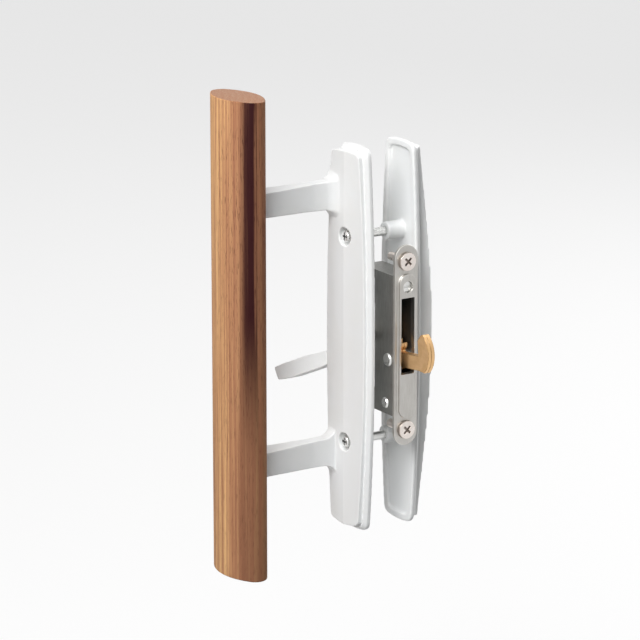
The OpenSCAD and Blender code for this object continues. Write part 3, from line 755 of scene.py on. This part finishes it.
@dataclass
class Castings:
    """The white castings: both plates and the thumb lever."""

    skins: Skins
    outline: PlateOutline = field(default_factory=PlateOutline)
    plate_grid: float = 0.31
    outer_grid: float = 0.45
    lever_grid: float = 0.25
    groove_inset: float = 2.05
    groove_width: float = 0.8
    groove_floor: float = -3.0
    arm_middle: float = -10.4
    arm_half_width: float = 3.0
    arm_half_height: float = 6.7
    arm_heights: tuple[float, float] = (68.5, -56.5)
    foot_y: float = -7.0
    fillet: float = 6.5
    screw_heights: tuple[float, float] = (50.0, -50.0)
    bore_radius: float = 4.4

    def groove(self) -> bpy.types.Object:
        """Makes the cutter of the groove that parts the raised face from the border."""
        shape = bmesh.new()
        half = self.groove_width / 2
        inner = self.outline.three_sides(self.groove_inset + half)
        outer = self.outline.three_sides(self.groove_inset - half)
        rings = []
        for (xi, zi), (xo, zo) in zip(inner, outer):
            corners = ((xi, -9.0, zi), (xo, -9.0, zo), (xo, self.groove_floor, zo), (xi, self.groove_floor, zi))
            rings.append([shape.verts.new(Vector(c) * MM) for c in corners])
        for one, two in zip(rings, rings[1:]):
            for k in range(4):
                shape.faces.new((one[k], one[(k + 1) % 4], two[(k + 1) % 4], two[k]))
        shape.faces.new(rings[0])
        shape.faces.new(rings[-1])
        bmesh.ops.recalc_face_normals(shape, faces=shape.faces)
        return self.skins.piece("groove", shape)

    def foot(self, height: float) -> bpy.types.Object:
        """Makes the hollow fillet at the side of an arm's foot that faces the lock.

        Args:
            height: The arm's height, in millimetres.

        Returns:
            The fillet, a closed piece that sinks into the arm and the plate.
        """
        steps = 14
        curve = [(self.fillet * (1 - math.cos(a)), self.fillet * (1 - math.sin(a)))
                 for a in (math.pi / 2 * k / steps for k in range(steps + 1))]
        profile = [(-0.6, self.fillet)] + curve + [(self.fillet, -1.5), (-0.6, -1.5)]
        side = self.arm_middle + self.arm_half_width
        path = [(side - 1.5, self.arm_half_height, math.pi / 2)]
        path += [(side, self.arm_half_height, math.pi / 2 * (1 - k / 10)) for k in range(11)]
        path += [(side, -self.arm_half_height, -math.pi / 2 * k / 10) for k in range(11)]
        path += [(side - 1.5, -self.arm_half_height, -math.pi / 2)]
        shape = bmesh.new()
        rings = []
        for x, z, turn in path:
            rings.append([shape.verts.new(Vector((x + u * math.cos(turn), self.foot_y - h,
                                                  height + z + u * math.sin(turn))) * MM) for u, h in profile])
        count = len(profile)
        for one, two in zip(rings, rings[1:]):
            for k in range(count):
                shape.faces.new((one[k], one[(k + 1) % count], two[(k + 1) % count], two[k]))
        shape.faces.new(rings[0])
        shape.faces.new(rings[-1])
        bmesh.ops.recalc_face_normals(shape, faces=shape.faces)
        return self.skins.piece("foot", shape)

    def bore(self, height: float) -> bpy.types.Object:
        """Makes the cutter that keeps a screw's counterbore clear of the foot beside it.

        Args:
            height: The screw's height, in millimetres.

        Returns:
            The cutter, a round bar along Y.
        """
        shape = bmesh.new()
        radius = self.bore_radius * MM
        bmesh.ops.create_cone(shape, cap_ends=True, segments=64, radius1=radius, radius2=radius, depth=14 * MM)
        bmesh.ops.rotate(shape, verts=shape.verts, matrix=Matrix.Rotation(math.pi / 2, 3, "X"))
        bmesh.ops.translate(shape, verts=shape.verts, vec=Vector((0, -9, height)) * MM)
        return self.skins.piece("bore", shape)

    def build(self) -> None:
        """Softens the two plates and the lever."""
        feet = [self.foot(height) for height in self.arm_heights]
        for foot, height in zip(feet, self.screw_heights):
            self.skins.cut(foot, [self.bore(height)])
        plate = self.skins.cast("interior_plate", "room_plate", self.plate_grid, 5, [self.groove()], feet, 0.34)
        self.skins.settle(plate, Slot.CAST, Body.FIXED, "interior_plate")
        outer = self.skins.cast("exterior_plate", "outer_plate", self.outer_grid, 4)
        self.skins.settle(outer, Slot.CAST, Body.FIXED, "exterior_plate")
        lever = self.skins.cast("thumb_lever", "lever_blade", self.lever_grid, 6)
        self.skins.settle(lever, Slot.CAST, Body.LEVER, "thumb_lever")


@dataclass
class Lock:
    """The mortise lock: its stamped hook, its case and its face."""

    skins: Skins
    hook_grid: float = 0.16
    face_grid: float = 0.2

    def build(self) -> None:
        """Softens the hook's two plates and the lock's face."""
        for node, name in (("hook_plate_inner", "hook_inner"), ("hook_plate_outer", "hook_outer")):
            plate = self.skins.cast(node, name, self.hook_grid, 4)
            self.skins.settle(plate, Slot.HOOK, Body.HOOK, node)
        face = self.skins.cast("lock_face", "face_bar", self.face_grid, 1)
        self.skins.settle(face, Slot.FACE, Body.FIXED, "lock_face")
        self.skins.paint("lock_hub", Slot.HOOK)
        for node in ("lock_case", "lock_cover"):
            self.skins.paint(node, Slot.CASE)
        self.skins.paint("detent_spring", Slot.SPRING)
        self.skins.paint("lever_washer", Slot.SPRING)


@dataclass
class Fasteners:
    """The screws, pins and rivets."""

    skins: Skins
    grid: float = 0.13

    def build(self) -> None:
        """Gives every fastener its plating, and soft heads to those that show."""
        for node in ("grip_screw_upper", "grip_screw_lower", "lever_spindle", "lever_keeper", "keeper_screw_upper",
                     "keeper_screw_lower", "hook_pivot", "adjusting_screw", "case_rivet_upper",
                     "case_rivet_lower", "case_rivet_front"):
            self.skins.paint(node, Slot.SCREWS)
        for end, side in (("upper", 1), ("lower", -1)):
            through = self.skins.cast(f"plate_screw_{end}", f"pan_head_{end}", self.grid, 3)
            mouth = Vector((0, -6.4, side * 50))
            # The recess mark lets the plating paint shade into the cross.
            self.skins.mark_recess(through, mouth, Vector((0, -1, 0)), 2.2)
            self.skins.dome(through, mouth, Vector((0, -1, 0)), 2.7, 0.9)
            self.skins.settle(through, Slot.SCREWS, Body.FIXED, f"plate_screw_{end}")
            edge = self.skins.cast(f"face_screw_{end}", f"flat_head_{end}", self.grid, 2)
            self.skins.mark_recess(edge, Vector((26, 11.5, side * 40.7)), Vector((1, 0, 0)), 2.5)
            self.skins.settle(edge, Slot.FACE_SCREWS, Body.FIXED, f"face_screw_{end}")


@dataclass
class Studio:
    """The camera, the lamps and a pale floor."""

    azimuth: float = 58.01
    pitch: float = 14.68
    distance: float = 1619.93
    focal: float = 3429.39
    aside: float = -17.6
    above: float = 8.36
    floor_z: float = -300.0

    def camera(self) -> None:
        """Puts the camera where the photograph was taken from."""
        turn, rise = math.radians(self.azimuth), math.radians(self.pitch)
        back = Vector((math.sin(turn) * math.cos(rise), -math.cos(turn) * math.cos(rise), math.sin(rise)))
        right = Vector((math.cos(turn), math.sin(turn), 0))
        up = back.cross(right)
        data = bpy.data.cameras.new("camera")
        data.sensor_width, data.lens = 36.0, self.focal / 640 * 36
        data.clip_start, data.clip_end = 0.1, 20.0
        camera = bpy.data.objects.new("camera", data)
        camera.location = (back * self.distance + right * self.aside + up * self.above) * MM
        camera.rotation_mode = "QUATERNION"
        camera.rotation_quaternion = Matrix((right, up, back)).transposed().to_quaternion()
        bpy.context.scene.collection.objects.link(camera)
        bpy.context.scene.camera = camera

    def lamp(self, name: str, aim: tuple[float, float], reach: float, size: float, power: float) -> None:
        """Adds a soft square lamp that faces the set.

        Args:
            name: The lamp's name.
            aim: Its azimuth and elevation, in degrees.
            reach: Its distance, in metres.
            size: Its side, in metres.
            power: Its power, in watts.
        """
        data = bpy.data.lights.new(name, "AREA")
        data.shape, data.size, data.energy = "SQUARE", size, power
        lamp = bpy.data.objects.new(name, data)
        turn, rise = math.radians(aim[0]), math.radians(aim[1])
        back = Vector((math.sin(turn) * math.cos(rise), -math.cos(turn) * math.cos(rise), math.sin(rise)))
        lamp.location = back * reach
        lamp.rotation_mode = "QUATERNION"
        lamp.rotation_quaternion = back.to_track_quat("Z", "Y")
        bpy.context.scene.collection.objects.link(lamp)

    def world(self, level: float) -> None:
        """Fills the room with even light and shows it white.

        Args:
            level: The strength of the light that falls on the set.
        """
        world = bpy.data.worlds.new("room")
        bpy.context.scene.world = world
        world.use_nodes = True
        world.node_tree.nodes.clear()
        tree = Tree(world.node_tree)
        path = tree.add("ShaderNodeLightPath")
        seen = tree.math("MAXIMUM", path.outputs["Is Camera Ray"], path.outputs["Is Transmission Ray"])
        shiny = tree.math("MULTIPLY", path.outputs["Is Glossy Ray"], 0.85)
        strength = tree.math("MAXIMUM", tree.math("MAXIMUM", seen, shiny), level)
        light = tree.add("ShaderNodeBackground", {"Color": (1, 1, 1, 1), "Strength": strength})
        tree.add("ShaderNodeOutputWorld", {"Surface": light.outputs[0]})

    def floor(self) -> None:
        """Lays a pale floor that keeps a faint shadow."""
        shape = bmesh.new()
        bmesh.ops.create_grid(shape, x_segments=1, y_segments=1, size=6.0)
        bmesh.ops.translate(shape, verts=shape.verts, vec=(0, 0, self.floor_z * MM))
        mesh = bpy.data.meshes.new("floor")
        shape.to_mesh(mesh)
        shape.free()
        floor = bpy.data.objects.new("floor", mesh)
        bpy.context.scene.collection.objects.link(floor)
        paper = bpy.data.materials.new("pale floor")
        paper.use_nodes = True
        tree = Tree(paper.node_tree)
        shader = paper.node_tree.nodes["Principled BSDF"]
        shader.inputs["Base Color"].default_value = (0.24, 0.24, 0.24, 1)
        shader.inputs["Roughness"].default_value = 0.9
        path = tree.add("ShaderNodeLightPath")
        seen = tree.math("MAXIMUM", path.outputs["Is Camera Ray"], path.outputs["Is Glossy Ray"])
        shader.inputs["Emission Color"].default_value = (1, 1, 1, 1)
        tree.tree.links.new(tree.math("MULTIPLY", seen, 0.71), shader.inputs["Emission Strength"])
        mesh.materials.append(paper)

    def build(self) -> None:
        """Sets up the whole studio."""
        self.camera()
        self.floor()
        self.world(0.10)
        self.lamp("key", (34, 39), 1.5, 0.9, 24.0)
        self.lamp("front", (-20, 12), 1.6, 1.2, 2.6)
        self.lamp("top", (60, 80), 1.5, 1.0, 6.5)
        self.lamp("back", (200, 28), 1.6, 1.2, 15.0)
        bpy.context.scene.view_settings.view_transform = "Standard"


def make_finishes(effects: Effects) -> dict[Slot, bpy.types.Material]:
    """Makes every material.

    Args:
        effects: The shared node groups.

    Returns:
        The materials by slot.
    """
    chosen: dict[Slot, Finish] = {
        # The enamel keeps its default edge colour, a painted highlight on the convex edges.
        Slot.CAST: CastPaint("white enamel", (0.85, 0.865, 0.87, 1.0), 0.0, 0.36),
        Slot.WOOD: OiledWood("oiled wood", linear(188, 134, 90), 0.0, 0.6),
        # In the plated finishes the colour after the edge amount is painted shade for a screw's cross recess; the
        # zinc takes the default.
        Slot.SCREWS: Plated("bright zinc", linear(232, 232, 229), 1.0, 0.3, linear(246, 246, 244),
                            linear(205, 206, 207), 0.5),
        Slot.CASE: BrushedSteel("stamped steel", linear(168, 168, 165), 1.0, 0.42, linear(120, 118, 114), 1800.0),
        Slot.FACE: BrushedSteel("brushed stainless", linear(204, 202, 198), 1.0, 0.36, linear(156, 151, 144)),
        Slot.FACE_SCREWS: Plated("bright nickel", linear(236, 228, 222), 1.0, 0.3, linear(176, 150, 134),
                                 linear(214, 202, 195), 0.5, (0.14, 0.11, 0.09, 1.0)),
        Slot.HOOK: Plated("yellow plate", linear(232, 192, 142), 1.0, 0.38, linear(138, 98, 52),
                          linear(212, 172, 120), 0.95),
        Slot.SPRING: Plated("tempered steel", linear(120, 124, 130), 1.0, 0.3, linear(170, 172, 176),
                            linear(95, 98, 108), 0.5),
    }
    return {slot: finish.material(effects) for slot, finish in chosen.items()}


def main() -> None:
    """Loads the frame, builds every sub-assembly and lights the set."""
    logging.basicConfig(level=logging.INFO, format="%(name)s %(message)s")
    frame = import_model()
    skins = Skins(frame, make_finishes(Effects()))
    Studio().build()
    for part in (Grip(skins), Castings(skins), Lock(skins), Fasteners(skins)):
        part.build()


if __name__ == "__main__":
    main()
